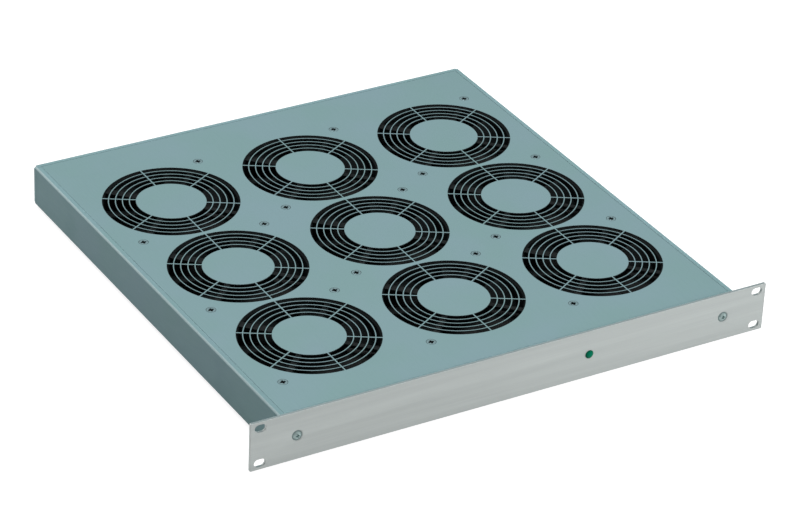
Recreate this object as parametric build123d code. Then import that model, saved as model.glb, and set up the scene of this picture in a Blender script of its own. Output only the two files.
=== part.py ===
from build123d import *
from math import asin, cos, pi, sin
import os

os.makedirs("parts", exist_ok=True)

# A rack fan drawer one rack unit high: a folded steel chassis behind an aluminium front panel,
# with nine square fans hung under a top plate that has a ring grille cut over each fan.
# Millimetres. X runs along the panel, Y runs back into the rack and Z is up. The origin is
# the middle of the rack slots on the panel's back face, which lies against the rack rails.

# Front panel
panel_width = 482.6
panel_height = 43.6
panel_thickness = 2.5
panel_corner = 1.0
slot_inset_x = 8.75
slot_inset_z = 5.925
slot_length = 10.0
slot_width = 6.8

# Chassis: four folded walls, a stepped ledge that carries the plate flush, a lower flange.
# The panel stands out past it by an ear on each side and by a margin above and below.
ear_width = 27.8
panel_margin = 3.0
chassis_depth = 450.0
sheet = 1.0
bend_radius = 2.0
rim_width = 5.0
ledge_width = 9.0
lower_flange = 12.0
corner_relief = 2.6
plate_seam = 0.3

# Fan layout: as many fans as the chassis takes, with wiring lanes between the columns
fan_lane = 16.0
fan_row_gap = 3.0
front_space = 38.0
rear_space = 36.0

# Grille over each fan: its disc hides the rotor, its outer slots end just past the duct
grille_disc_margin = 0.75
grille_edge_margin = 1.25
grille_ring = 1.2
grille_rings = 4
spoke_width = 1.5
spokes = 6

# Fan frame
fan_size = 119.0
fan_depth = 25.0
fan_corner = 4.0
fan_hole_inset = 7.0
fan_hole_radius = 2.25
duct_wall = 2.0
mouth_chamfer = 1.5
strut_width = 5.0
lead_strut_width = 8.0
strut_thickness = 3.0
motor_base_radius = 27.0
post_radius = 5.0
post_gap = 3.5

# Motor and impeller
shaft_radius = 1.5
bush_radius = 3.0
bush_setback = 2.0
stator_gap = 2.0
stator_height = 9.0
stator_slot = 4.0
rotor_radius = 29.5
rotor_wall = 3.0
rotor_recess = 2.5
rotor_floor = 2.0
rotor_gap = 1.5
blades = 7
blade_tip_clearance = 1.5
blade_thickness = 1.5
blade_root_chord = 24.0
blade_tip_chord = 40.0
blade_root_sink = 2.8
blade_pitch = 24.0
blade_camber = 3.0

# Fasteners
panel_screw_inset = 13.5
panel_screw_radius = 2.5
panel_screw_head = 4.9
panel_screw_dome = 1.2
panel_screw_length = 12.0
recess_span = 4.6
recess_width = 1.1
recess_depth = 1.6
nut_radius = 4.75
nut_length = 4.0
fan_screw_radius = 2.0
fan_screw_head = 3.9
fan_screw_length = 8.0

# Power indicator
indicator_x = 69.0
lens_radius = 3.7
lens_rim = 0.4
lens_dome = 1.6
barrel_radius = 3.0
barrel_length = 9.0
barrel_wall = 0.8
lamp_length = 6.5
lamp_pin_length = 4.0
lamp_pin_side = 0.6
lamp_pin_pitch = 2.54
clip_radius = 4.8
clip_thickness = 1.0

# Supply inlet, a three-pole appliance inlet in the middle of the rear wall
inlet_width = 27.0
inlet_height = 19.6
inlet_corner = 5.0
inlet_depth = 20.0
inlet_wall = 1.6
inlet_floor = 4.0
inlet_flange_end = 5.0
inlet_flange_edge = 1.7
inlet_flange_thickness = 3.0
inlet_flange_corner = 4.0
inlet_screw_pitch = 40.0
inlet_screw_radius = 1.5
inlet_screw_head = 2.8
inlet_screw_length = 9.0
inlet_nut_side = 5.5
inlet_nut_thickness = 2.4
pin_pitch = 7.0
pin_offset = 4.0
pin_width = 4.0
pin_thickness = 2.0
pin_setback = 1.5
tab_length = 7.0

# Earth stud
earth_x = -60.0
earth_radius = 2.0
earth_reach = 12.0
earth_head_radius = 3.8
earth_head_thickness = 1.2
earth_nut_side = 7.0
earth_nut_thickness = 3.2

# Wiring in the two lanes between the fan columns
loom_radius = 2.0
loom_bend = 12.0
loom_drop = 6.0
loom_front_run = 10.0
lead_radius = 1.2
clip_block = 8.0

# Clearances
running_clearance = 0.05
fit_clearance = 0.1
hole_clearance = 0.15
near = 0.3

# Worked-out sizes of the panel, the chassis and the fans
slot_spacing_x = panel_width - 2 * slot_inset_x
slot_spacing_z = panel_height - 2 * slot_inset_z
chassis_width = panel_width - 2 * ear_width
chassis_top = panel_height / 2 - panel_margin
plate_bottom = chassis_top - sheet
inner_wall_y = chassis_depth - sheet
panel_screw_x = chassis_width / 2 - panel_screw_inset
duct_radius = fan_size / 2 - duct_wall
fan_hole_pitch = fan_size - 2 * fan_hole_inset

# Motor levels, from the fan's upper face at Z = 0 down
rotor_top = -strut_thickness - rotor_gap
rotor_bottom = rotor_recess - fan_depth
rotor_height = rotor_top - rotor_bottom
stator_radius = rotor_radius - rotor_wall - stator_gap
post_bottom = rotor_bottom + rotor_floor + post_gap
bush_top = -strut_thickness - bush_setback

# Grille radii
grille_disc_radius = rotor_radius + grille_disc_margin
grille_outer_radius = duct_radius + grille_edge_margin
grille_band = grille_outer_radius - grille_disc_radius
grille_slot = (grille_band - grille_rings * grille_ring) / (grille_rings + 1)

# Fan places: the columns about the middle, the rows from the front
fan_pitch_x = fan_size + fan_lane
fan_pitch_y = fan_size + fan_row_gap
fan_field_x = chassis_width - 2 * (rim_width + ledge_width)
fan_field_y = chassis_depth - front_space - rear_space
fan_columns = int((fan_field_x + fan_lane) // fan_pitch_x)
fan_rows = int((fan_field_y + fan_row_gap) // fan_pitch_y)
first_row = front_space + fan_size / 2
lane_x = fan_pitch_x / 2 if fan_columns % 2 else fan_pitch_x
loom_z = plate_bottom - loom_drop

fan_centres = [
    ((column - (fan_columns - 1) / 2) * fan_pitch_x, first_row + row * fan_pitch_y)
    for row in range(fan_rows)
    for column in range(fan_columns)
]
screw_offsets = [
    (fan_hole_pitch / 2, fan_hole_pitch / 2),
    (-fan_hole_pitch / 2, -fan_hole_pitch / 2),
]


def write(name, shapes):
    """Writes one node: a piece, or a group of like pieces that stay separate solids."""
    solids = [solid for shape in shapes for solid in shape.solids()]
    export_step(Compound(children=solids), f"parts/{name}.step")


def block(width, depth, height, low_z, y=0.0, x=0.0):
    """A box centred on x and y, standing on low_z."""
    return Pos(x, y, low_z) * Box(
        width, depth, height, align=(Align.CENTER, Align.CENTER, Align.MIN)
    )


def drum(radius, low_z, high_z, x=0.0, y=0.0):
    """An upright cylinder between two levels."""
    return Pos(x, y, low_z) * Cylinder(
        radius, high_z - low_z, align=(Align.CENTER, Align.CENTER, Align.MIN)
    )


def rod(radius, low_y, high_y, x=0.0, z=0.0):
    """A cylinder that runs along Y between two depths."""
    return Pos(x, low_y, z) * Rot(-90, 0, 0) * Cylinder(
        radius, high_y - low_y, align=(Align.CENTER, Align.CENTER, Align.MIN)
    )


def polar(radius, angle):
    return (radius * cos(angle), radius * sin(angle))


def dome_arc(radius, low, high):
    """Half of a shallow spherical dome's outline, from its top down to its rim."""
    height = high - low
    ball = (radius**2 + height**2) / (2 * height)
    half = asin(radius / ball) / 2
    middle = (ball * sin(half), high - ball * (1 - cos(half)))
    return ThreePointArc((0, high), middle, (radius, low))


def screw(head_radius, shank_radius, cone_height, length, dome=0.0):
    """A countersunk screw on Z, its head's rim at Z = 0. A dome makes the raised head."""
    with BuildPart() as made:
        with BuildSketch(Plane.XZ):
            with BuildLine():
                if dome:
                    dome_arc(head_radius, 0, dome)
                else:
                    Line((0, 0), (head_radius, 0))
                Polyline(
                    (head_radius, 0),
                    (shank_radius, -cone_height),
                    (shank_radius, -length),
                    (0, -length),
                    (0, dome),
                )
            make_face()
        revolve(axis=Axis.Z)
    return made.part


def sink(head_radius, shank_radius, cone_height, clearance):
    """The countersink that a screw's head lies in."""
    return Pos(0, 0, -cone_height) * Cone(
        shank_radius + clearance,
        head_radius + clearance,
        cone_height,
        align=(Align.CENTER, Align.CENTER, Align.MIN),
    )


def facing_front(shape, x=0.0, y=0.0, z=0.0):
    """Turns a piece made along Z so that its top faces the front of the rack."""
    return Pos(x, y, z) * Rot(90, 0, 0) * shape


def facing_back(shape, x=0.0, y=0.0, z=0.0):
    """Turns a piece made along Z so that its top faces the back of the rack."""
    return Pos(x, y, z) * Rot(-90, 0, 0) * shape


# Chassis walls


def chassis_box(inset, low_z, high_z):
    """A block over the chassis's plan, taken in by inset on all four sides."""
    return block(
        chassis_width - 2 * inset,
        chassis_depth - 2 * inset,
        high_z - low_z,
        low_z,
        y=chassis_depth / 2,
    )


def make_chassis_frame():
    """Four walls folded from one sheet, with a rim, a stepped ledge and a lower flange."""
    outside = chassis_box(0, -chassis_top, chassis_top)
    outside = fillet(outside.edges(), bend_radius)
    inside = chassis_box(sheet, sheet - chassis_top, chassis_top - sheet)
    inside = fillet(inside.edges(), bend_radius - sheet)
    frame = outside - inside
    ledge = chassis_box(rim_width - sheet, plate_bottom - sheet, plate_bottom)
    recess = chassis_box(rim_width, plate_bottom, chassis_top)
    opening = chassis_box(rim_width + ledge_width, 0, chassis_top)
    frame = frame + ledge - recess - opening
    frame -= chassis_box(lower_flange, -chassis_top, 0)
    for x in (-chassis_width / 2, chassis_width / 2):
        for y in (0, chassis_depth):
            for z in (-chassis_top, chassis_top):
                notch = Box(2 * corner_relief, 2 * corner_relief, 2 * corner_relief)
                frame -= Pos(x, y, z) * notch
    for x in (-panel_screw_x, panel_screw_x):
        frame -= rod(panel_screw_radius + hole_clearance, -sheet, 2 * sheet, x=x)
    frame -= rod(barrel_radius + hole_clearance, -sheet, 2 * sheet, x=indicator_x)
    cut = inlet_outline(fit_clearance)
    frame -= Pos(0, chassis_depth + sheet, 0) * extrude(cut, amount=3 * sheet)
    for x in (-inlet_screw_pitch / 2, inlet_screw_pitch / 2):
        low, high = chassis_depth - 2 * sheet, chassis_depth + sheet
        frame -= rod(inlet_screw_radius + hole_clearance, low, high, x=x)
    low, high = chassis_depth - 2 * sheet, chassis_depth + sheet
    frame -= rod(earth_radius + running_clearance, low, high, x=earth_x)
    return frame


# Top plate and its grilles


def grille_opening(centre, inner, outer, middle):
    """One opening of a grille: two arcs between two rings, two straight sides on spokes."""

    def place(radius, share):
        half = pi / spokes - asin(spoke_width / 2 / radius)
        x, y = polar(radius, middle + share * half)
        return (centre[0] + x, centre[1] + y)

    outside = ThreePointArc(place(outer, -1), place(outer, 0), place(outer, 1))
    inside = ThreePointArc(place(inner, 1), place(inner, 0), place(inner, -1))
    sides = [Line(outside @ 1, inside @ 0), Line(inside @ 1, outside @ 0)]
    return Wire([outside, sides[0], inside, sides[1]])


def grille_openings(centre):
    """The openings of one grille: rings about a central disc, held by six spokes."""
    openings = []
    for ring in range(grille_rings + 1):
        inner = grille_disc_radius + ring * (grille_slot + grille_ring)
        for sector in range(spokes):
            middle = sector * 2 * pi / spokes
            openings.append(grille_opening(centre, inner, inner + grille_slot, middle))
    return openings


def make_top_plate():
    width = chassis_width - 2 * (rim_width + plate_seam)
    depth = chassis_depth - 2 * (rim_width + plate_seam)
    outline = Pos(0, chassis_depth / 2) * Rectangle(width, depth)
    openings = [wire for centre in fan_centres for wire in grille_openings(centre)]
    face = Face(outline.face().outer_wire(), openings)
    plate = Pos(0, 0, plate_bottom) * extrude(face, sheet, dir=(0, 0, 1))
    sinks = [
        Pos(x, y, chassis_top) * sink(fan_screw_head, fan_screw_radius, sheet, fit_clearance)
        for x, y in fan_screw_places()
    ]
    return plate - sinks


def fan_screw_places():
    return [(x + dx, y + dy) for x, y in fan_centres for dx, dy in screw_offsets]


# Front panel


def panel_slot_places():
    half_x, half_z = slot_spacing_x / 2, slot_spacing_z / 2
    return [(x, z) for x in (-half_x, half_x) for z in (-half_z, half_z)]


def make_front_panel():
    outline = RectangleRounded(panel_width, panel_height, panel_corner)
    slot = SlotOverall(slot_length, slot_width)
    outline -= [Pos(x, z) * slot for x, z in panel_slot_places()]
    outline -= Pos(indicator_x, 0) * Circle(barrel_radius + hole_clearance)
    for x in (-panel_screw_x, panel_screw_x):
        outline -= Pos(x, 0) * Circle(panel_screw_radius + hole_clearance)
    panel = extrude(Plane.XZ * outline, amount=panel_thickness)
    cone = panel_screw_head - panel_screw_radius
    for x in (-panel_screw_x, panel_screw_x):
        head = sink(panel_screw_head, panel_screw_radius, cone, hole_clearance)
        panel -= facing_front(head, x, -panel_thickness)
    return panel


def make_panel_screw(x):
    """Raised countersunk screw with a cross recess, through the panel into a press nut."""
    cone = panel_screw_head - panel_screw_radius
    made = screw(
        panel_screw_head, panel_screw_radius, cone, panel_screw_length, panel_screw_dome
    )
    recess_low = panel_screw_dome - recess_depth
    for width, depth in ((recess_span, recess_width), (recess_width, recess_span)):
        made -= block(width, depth, 2 * recess_depth, recess_low)
    return facing_front(made, x, -panel_thickness)


def make_panel_nut(x):
    """Round press nut set in the back of the chassis's front wall."""
    nut = rod(nut_radius, sheet, sheet + nut_length, x=x)
    return nut - rod(panel_screw_radius + running_clearance, 0, 2 * nut_length, x=x)


# Power indicator


def make_lens():
    """Green lens: a low dome over the panel and a hollow barrel through it."""
    with BuildPart() as lens:
        with BuildSketch(Plane.XZ):
            with BuildLine():
                dome_arc(lens_radius, lens_rim, lens_dome)
                Polyline(
                    (lens_radius, lens_rim),
                    (lens_radius, 0),
                    (barrel_radius, 0),
                    (barrel_radius, -barrel_length),
                    (0, -barrel_length),
                    (0, lens_dome),
                )
            make_face()
        revolve(axis=Axis.Z)
    bore = drum(barrel_radius - barrel_wall, -barrel_length, -barrel_wall)
    return facing_front(lens.part - bore, indicator_x, -panel_thickness)


def make_lamp():
    """Lamp in the lens's barrel, with its two square pins."""
    radius = barrel_radius - barrel_wall - fit_clearance
    front = -panel_thickness + barrel_wall + near
    lamp = rod(radius, front, front + lamp_length, x=indicator_x)
    for x in (-lamp_pin_pitch / 2, lamp_pin_pitch / 2):
        pin = Box(lamp_pin_side, lamp_pin_length, lamp_pin_side)
        lamp += Pos(indicator_x + x, front + lamp_length + lamp_pin_length / 2, 0) * pin
    return lamp


def make_lens_clip():
    """Push-on washer that holds the barrel from behind the front wall."""
    clip = rod(clip_radius, sheet, sheet + clip_thickness, x=indicator_x)
    return clip - rod(barrel_radius + running_clearance, 0, 3 * sheet, x=indicator_x)


# Fans, made about their own centre with the face under the top plate at Z = 0


def strut(width, angle):
    reach = duct_radius + mouth_chamfer / 2
    bar = Pos(reach / 2, 0, -strut_thickness) * Box(
        reach, width, strut_thickness, align=(Align.CENTER, Align.CENTER, Align.MIN)
    )
    return Rot(0, 0, angle) * bar


def make_fan_frame():
    """Square frame with its round duct, four struts, the motor base and the bearing post."""
    body = extrude(RectangleRounded(fan_size, fan_size, fan_corner), amount=-fan_depth)
    body -= drum(duct_radius, -fan_depth, 0)
    body -= Pos(0, 0, -mouth_chamfer) * Cone(
        duct_radius,
        duct_radius + mouth_chamfer,
        mouth_chamfer,
        align=(Align.CENTER, Align.CENTER, Align.MIN),
    )
    spider = drum(motor_base_radius, -strut_thickness, 0)
    for angle in (45, 225, 315):
        spider += strut(strut_width, angle)
    spider += strut(lead_strut_width, 135)
    spider += drum(post_radius, post_bottom, -strut_thickness)
    body += spider
    body -= drum(bush_radius, post_bottom, -strut_thickness)
    for x, y in screw_offsets:
        body -= drum(fan_screw_radius + running_clearance, -fan_depth, 0, x, y)
        body -= drum(fan_hole_radius, -fan_depth, 0, x, -y)
    return body


def make_bush():
    """Plain bearing pressed into the post."""
    tube = drum(bush_radius, post_bottom, bush_top)
    return tube - drum(shaft_radius + running_clearance, post_bottom, bush_top)


def make_stator():
    """Laminated core and windings round the post, an eight-sided block with four slots."""
    top = rotor_top - near
    core = extrude(RegularPolygon(stator_radius, 8), amount=stator_height)
    for angle in (0, 90):
        slot_cut = Box(2 * stator_radius, stator_slot, stator_height)
        slot_cut -= Box(stator_radius, 2 * stator_slot, 2 * stator_height)
        core -= Rot(0, 0, angle) * Pos(0, 0, stator_height / 2) * slot_cut
    core = Pos(0, 0, top - stator_height) * core
    return core - drum(post_radius + running_clearance, top - stator_height, top)


def make_blade():
    """Cambered blade along X: a bent sheet, wider toward its tip, turned to its pitch."""
    root = rotor_radius - blade_root_sink
    tip = duct_radius - blade_tip_clearance
    half = blade_tip_chord / 2
    low = -blade_thickness
    with BuildSketch(Plane.YZ) as section:
        with BuildLine():
            top = ThreePointArc((-half, 0), (0, blade_camber), (half, 0))
            bottom = ThreePointArc((half, low), (0, blade_camber + low), (-half, low))
            Line(top @ 1, bottom @ 0)
            Line(bottom @ 1, top @ 0)
        make_face()
    bent = Pos(root, 0, 0) * extrude(section.sketch, amount=tip - root)
    outline = Polyline(
        (root, -blade_root_chord / 2),
        (tip, -half),
        (tip, half),
        (root, blade_root_chord / 2),
        close=True,
    )
    plan = extrude(make_face(outline.edges()), amount=2 * blade_camber, both=True)
    blade = Rot(blade_pitch, 0, 0) * (bent & plan)
    return blade & drum(tip, -rotor_height, rotor_height)


def make_impeller():
    """Rotor cup that opens upward over the stator, with its ring of blades."""
    cup = drum(rotor_radius, rotor_bottom, rotor_top)
    middle = (rotor_top + rotor_bottom + blade_thickness) / 2
    blade = Pos(0, 0, middle) * make_blade()
    for number in range(blades):
        cup += Rot(0, 0, number * 360 / blades) * blade
    cup -= drum(rotor_radius - rotor_wall, rotor_bottom + rotor_floor, rotor_top)
    return cup - drum(shaft_radius, rotor_bottom, rotor_bottom + rotor_floor)


def make_shaft():
    """Shaft fixed in the rotor's floor, turning in the bush."""
    return drum(shaft_radius, rotor_bottom, -strut_thickness - near)


def make_fan_screw():
    return screw(fan_screw_head, fan_screw_radius, sheet, fan_screw_length)


# Supply inlet


def inlet_outline(grow):
    """The inlet's body seen from behind: a rectangle with its two upper corners cut."""
    half_x, half_z = inlet_width / 2 + grow, inlet_height / 2 + grow
    outline = Polyline(
        (-half_x, -half_z),
        (half_x, -half_z),
        (half_x, half_z - inlet_corner),
        (half_x - inlet_corner, half_z),
        (inlet_corner - half_x, half_z),
        (-half_x, half_z - inlet_corner),
        (-half_x, -half_z),
    )
    return Plane.XZ * make_face(outline.edges())


def make_inlet_body():
    """Moulded shroud through the rear wall, its flange outside and its cavity open behind."""
    flange_back = chassis_depth + inlet_flange_thickness
    body = Pos(0, flange_back, 0) * extrude(
        inlet_outline(0), amount=inlet_depth + inlet_flange_thickness
    )
    width = inlet_screw_pitch + 2 * inlet_flange_end
    height = inlet_height + 2 * inlet_flange_edge
    flange = RectangleRounded(width, height, inlet_flange_corner)
    for x in (-inlet_screw_pitch / 2, inlet_screw_pitch / 2):
        flange -= Pos(x, 0) * Circle(inlet_screw_radius + hole_clearance)
    flange = extrude(Plane.XZ * flange, amount=inlet_flange_thickness)
    body += Pos(0, flange_back, 0) * flange
    cone = inlet_screw_head - inlet_screw_radius
    for x in (-inlet_screw_pitch / 2, inlet_screw_pitch / 2):
        head = sink(inlet_screw_head, inlet_screw_radius, cone, hole_clearance)
        body -= facing_back(head, x, flange_back)
    cavity_depth = inlet_depth + inlet_flange_thickness - inlet_floor
    body -= Pos(0, flange_back, 0) * extrude(
        inlet_outline(-inlet_wall), amount=cavity_depth
    )
    for x, z in pin_places():
        body -= Pos(x, chassis_depth, z) * Box(pin_thickness, 4 * inlet_depth, pin_width)
    return body


def pin_places():
    return [(-pin_pitch, -pin_offset / 2), (0, pin_offset / 2), (pin_pitch, -pin_offset / 2)]


def make_inlet_pin(x, z):
    """Contact blade through the shroud's floor, with its tab inside the chassis."""
    blade_back = chassis_depth + inlet_flange_thickness - pin_setback
    blade_front = chassis_depth - inlet_depth - tab_length
    middle = (blade_back + blade_front) / 2
    return Pos(x, middle, z) * Box(pin_thickness, blade_back - blade_front, pin_width)


def make_inlet_screw(x):
    cone = inlet_screw_head - inlet_screw_radius
    made = screw(inlet_screw_head, inlet_screw_radius, cone, inlet_screw_length)
    return facing_back(made, x, chassis_depth + inlet_flange_thickness)


def hex_nut(side, thickness, bore):
    """Hexagon nut on Z, standing on Z = 0."""
    nut = extrude(RegularPolygon(side / 2, 6, major_radius=False), amount=thickness)
    return nut - drum(bore, 0, thickness)


def make_inlet_nut(x):
    nut = hex_nut(inlet_nut_side, inlet_nut_thickness, inlet_screw_radius + running_clearance)
    return facing_front(nut, x, inner_wall_y)


# Earth stud


def make_earth_stud():
    """Welded stud through the rear wall, its flat head inside."""
    head = rod(earth_head_radius, inner_wall_y - earth_head_thickness, inner_wall_y, x=earth_x)
    return head + rod(earth_radius, inner_wall_y, chassis_depth + earth_reach, x=earth_x)


def make_earth_nut():
    nut = hex_nut(earth_nut_side, earth_nut_thickness, earth_radius + running_clearance)
    return facing_back(nut, earth_x, chassis_depth)


# Wiring


def make_loom(side, front_points):
    """Sleeved wires along one lane, turning in behind the fans to the inlet's tabs."""
    tab_side = pin_pitch + pin_thickness / 2 + near
    tab_y = inner_wall_y - inlet_depth - tab_length / 2
    tab_z = -pin_offset / 2
    points = front_points + [
        (side * lane_x, tab_y, loom_z),
        (side * (lane_x - 2 * loom_bend), tab_y, loom_z),
        (side * (tab_side + loom_bend), tab_y, tab_z),
        (side * tab_side, tab_y, tab_z),
    ]
    path = FilletPolyline(*points, radius=loom_bend)
    section = Plane(origin=path @ 0, z_dir=path % 0) * Circle(loom_radius)
    return sweep(section, path=path)


def make_fan_lead(x, y):
    """Short lead from a fan's side into the lane beside it."""
    side = -1 if x <= 0 else 1
    lane = side * lane_x
    toward = 1 if x < lane else -1
    start = x + toward * fan_size / 2
    length = abs(lane - start) - loom_radius - near
    lead = Cylinder(lead_radius, length, align=(Align.CENTER, Align.CENTER, Align.MIN))
    return Pos(start, y, loom_z) * Rot(0, 90 * toward, 0) * lead


def make_loom_clip(side, y):
    """Saddle stuck under the top plate, with the loom through it."""
    bottom = loom_z - clip_block / 2
    clip = block(clip_block, clip_block, plate_bottom - bottom, bottom, y=y, x=side * lane_x)
    bore = rod(loom_radius + running_clearance, y - clip_block, y + clip_block)
    return clip - Pos(side * lane_x, 0, loom_z) * bore


# Every node, written one by one

write("chassis_frame", [make_chassis_frame()])
write("top_plate", [make_top_plate()])
write("front_panel", [make_front_panel()])
write("panel_screws", [make_panel_screw(x) for x in (-panel_screw_x, panel_screw_x)])
write("panel_nuts", [make_panel_nut(x) for x in (-panel_screw_x, panel_screw_x)])

write("indicator_lens", [make_lens()])
write("indicator_lamp", [make_lamp()])
write("indicator_clip", [make_lens_clip()])

fan_frame = make_fan_frame()
bush = make_bush()
stator = make_stator()
impeller = make_impeller()
shaft = make_shaft()
fan_places = [Pos(x, y, plate_bottom) for x, y in fan_centres]
write("fan_frames", [place * fan_frame for place in fan_places])
write("fan_bushes", [place * bush for place in fan_places])
write("fan_stators", [place * stator for place in fan_places])
for number, place in enumerate(fan_places, start=1):
    write(f"impeller_{number}", [place * impeller])
    write(f"impeller_shaft_{number}", [place * shaft])
fan_screw = make_fan_screw()
write("fan_screws", [Pos(x, y, chassis_top) * fan_screw for x, y in fan_screw_places()])

write("inlet_body", [make_inlet_body()])
write("inlet_pins", [make_inlet_pin(x, z) for x, z in pin_places()])
inlet_screw_places = (-inlet_screw_pitch / 2, inlet_screw_pitch / 2)
write("inlet_screws", [make_inlet_screw(x) for x in inlet_screw_places])
write("inlet_nuts", [make_inlet_nut(x) for x in inlet_screw_places])
write("earth_stud", [make_earth_stud()])
write("earth_nut", [make_earth_nut()])

left_front = [(-lane_x, first_row - 2 * loom_radius, loom_z)]
write("left_loom", [make_loom(-1, left_front)])
lamp_back = -panel_thickness + barrel_wall + near + lamp_length + lamp_pin_length
right_front = [
    (indicator_x, lamp_back + near, 0),
    (indicator_x, lamp_back + near + loom_front_run, 0),
    (lane_x, first_row - fan_size / 2, loom_z),
]
write("right_loom", [make_loom(1, right_front)])
write("fan_leads", [make_fan_lead(x, y) for x, y in fan_centres])
row_ys = [first_row + row * fan_pitch_y + fan_pitch_y / 2 for row in range(fan_rows - 1)]
write("loom_clips", [make_loom_clip(side, y) for side in (-1, 1) for y in row_ys])
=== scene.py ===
from math import asin, cos, pi, radians, sin

import bmesh
import bpy
from mathutils import Matrix, Vector


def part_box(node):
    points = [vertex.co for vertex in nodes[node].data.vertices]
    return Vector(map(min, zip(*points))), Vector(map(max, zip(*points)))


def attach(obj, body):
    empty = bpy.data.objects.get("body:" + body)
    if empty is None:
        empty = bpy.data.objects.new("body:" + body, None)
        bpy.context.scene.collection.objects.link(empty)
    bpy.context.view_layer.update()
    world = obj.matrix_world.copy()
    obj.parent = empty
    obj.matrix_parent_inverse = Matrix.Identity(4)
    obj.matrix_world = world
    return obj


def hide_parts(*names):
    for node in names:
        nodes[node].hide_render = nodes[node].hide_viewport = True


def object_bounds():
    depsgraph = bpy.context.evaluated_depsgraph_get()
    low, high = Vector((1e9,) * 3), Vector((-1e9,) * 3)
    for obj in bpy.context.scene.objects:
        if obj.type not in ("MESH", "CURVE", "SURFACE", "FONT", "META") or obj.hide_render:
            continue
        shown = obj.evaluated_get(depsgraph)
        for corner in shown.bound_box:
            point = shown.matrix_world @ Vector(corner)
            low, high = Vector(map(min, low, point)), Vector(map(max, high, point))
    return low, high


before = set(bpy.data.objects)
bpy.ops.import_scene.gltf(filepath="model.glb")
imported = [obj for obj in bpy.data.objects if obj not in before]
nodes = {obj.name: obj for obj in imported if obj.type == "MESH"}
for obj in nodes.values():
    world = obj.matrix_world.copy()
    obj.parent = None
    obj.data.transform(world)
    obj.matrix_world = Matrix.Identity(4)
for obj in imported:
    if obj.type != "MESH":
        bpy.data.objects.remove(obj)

MM = 0.001
cad_low, cad_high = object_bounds()


# Camera. The view looks down on the drawer from the front left through a long lens, rolled
# a little. Its place was worked out from the panel's corners and the rows of fan screws.
EYE = Vector((-1.3417, -2.0155, 1.5067))
AZIMUTH, ELEVATION, ROLL = radians(31.367), radians(-30.215), radians(2.617)
FOCAL_MM, SENSOR_MM = 160.34, 36.0

forward = Vector((sin(AZIMUTH) * cos(ELEVATION), cos(AZIMUTH) * cos(ELEVATION), sin(ELEVATION)))
level = forward.cross(Vector((0, 0, 1))).normalized()
lens_axes = Matrix((level, level.cross(forward), -forward)).transposed()
camera_data = bpy.data.cameras.new("camera")
camera_data.lens, camera_data.sensor_width = FOCAL_MM, SENSOR_MM
camera_data.clip_start, camera_data.clip_end = 0.1, 50
camera = bpy.data.objects.new("camera", camera_data)
bpy.context.scene.collection.objects.link(camera)
camera.matrix_world = Matrix.Translation(EYE) @ (lens_axes @ Matrix.Rotation(ROLL, 3, "Z")).to_4x4()
bpy.context.scene.camera = camera


# Studio. A pale floor and an even white surround that the camera sees as one white field, and
# three soft lamps: overhead, at the front right and low at the left rear. Only the overhead
# one shows in reflections. Under the drawer the floor is painted dark as shade, so the fans
# look into shade.
FLOOR_HEX, FLOOR_SPAN, FLOOR_GLOW, SHADE_HEX = "A6A6A6", 12.0, 0.85, "2A2C2C"
SHADE_INSET_MM, SHADE_FADE_MM = 8.0, 4.0
SURROUND_LEVEL, WHITE_HEX = 0.26, "FFFFFF"
LAMPS = (
    ("overhead_lamp", (0.1, 0.6, 2.2), (0.0, 0.22, 0.0), 2.0, 37.0, True),
    ("front_right_lamp", (1.8, -1.4, 0.8), (0.1, 0.0, 0.0), 1.2, 34.0, False),
    ("left_rear_lamp", (-1.0, 1.3, 0.7), (-0.2, 0.3, 0.0), 0.8, 5.5, False),
)


def colour(code):
    """An sRGB hex colour as the linear values that a shader takes."""
    channels = [int(code[i : i + 2], 16) / 255 for i in (0, 2, 4)]
    return [c / 12.92 if c <= 0.04045 else ((c + 0.055) / 1.055) ** 2.4 for c in channels] + [1]


def add(tree, kind, *values, **named):
    """Adds a node. Plain values go to its inputs in use, in order, and a name is that of one
    of its settings or inputs. A node given as a value is linked by its first output in use,
    and a text is a hex colour. A socket for several shapes is linked last shape first, which
    keeps them in the order given."""
    node = tree.nodes.new(kind)
    given = []
    for name, value in named.items():
        if hasattr(node, name):
            setattr(node, name, value)
        else:
            given.append((name.replace("_", " "), value))
    given = [(node.inputs[name], value) for name, value in given]
    given += zip([socket for socket in node.inputs if socket.enabled], values)
    for socket, value in given:
        for each in reversed(value) if socket.is_multi_input else [value]:
            if isinstance(each, bpy.types.Node):
                each = next(output for output in each.outputs if output.enabled)
            if isinstance(each, bpy.types.NodeSocket):
                tree.links.new(each, socket)
            else:
                socket.default_value = colour(each) if isinstance(each, str) else each
    return node


def place_parts(tree):
    """The X, Y and Z of a place on the object."""
    place = add(tree, "ShaderNodeTexCoord").outputs["Object"]
    return add(tree, "ShaderNodeSeparateXYZ", place).outputs


def outside_box(tree, low, high):
    """How far a place lies outside an upright box with these corners, seen from above."""
    place = place_parts(tree)
    sides = []
    for part, low_side, high_side in zip("XY", low, high):
        middle, half_side = (low_side + high_side) / 2, (high_side - low_side) / 2
        from_middle = add(tree, "ShaderNodeMath", place[part], middle, operation="SUBTRACT")
        away = add(tree, "ShaderNodeMath", from_middle, operation="ABSOLUTE")
        sides.append(add(tree, "ShaderNodeMath", away, half_side, operation="SUBTRACT"))
    return add(tree, "ShaderNodeMath", *sides, operation="MAXIMUM")


def emptied(owner):
    """The node tree of a material or a world, with no nodes in it."""
    owner.use_nodes = True
    owner.node_tree.nodes.clear()
    return owner.node_tree


chassis_low, chassis_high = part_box("chassis_frame")
inset = SHADE_INSET_MM * MM
shade_low = (chassis_low.x + inset, chassis_low.y + inset)
shade_high = (chassis_high.x - inset, chassis_high.y - inset)

matt_white = bpy.data.materials.new("matt_white_floor")
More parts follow.
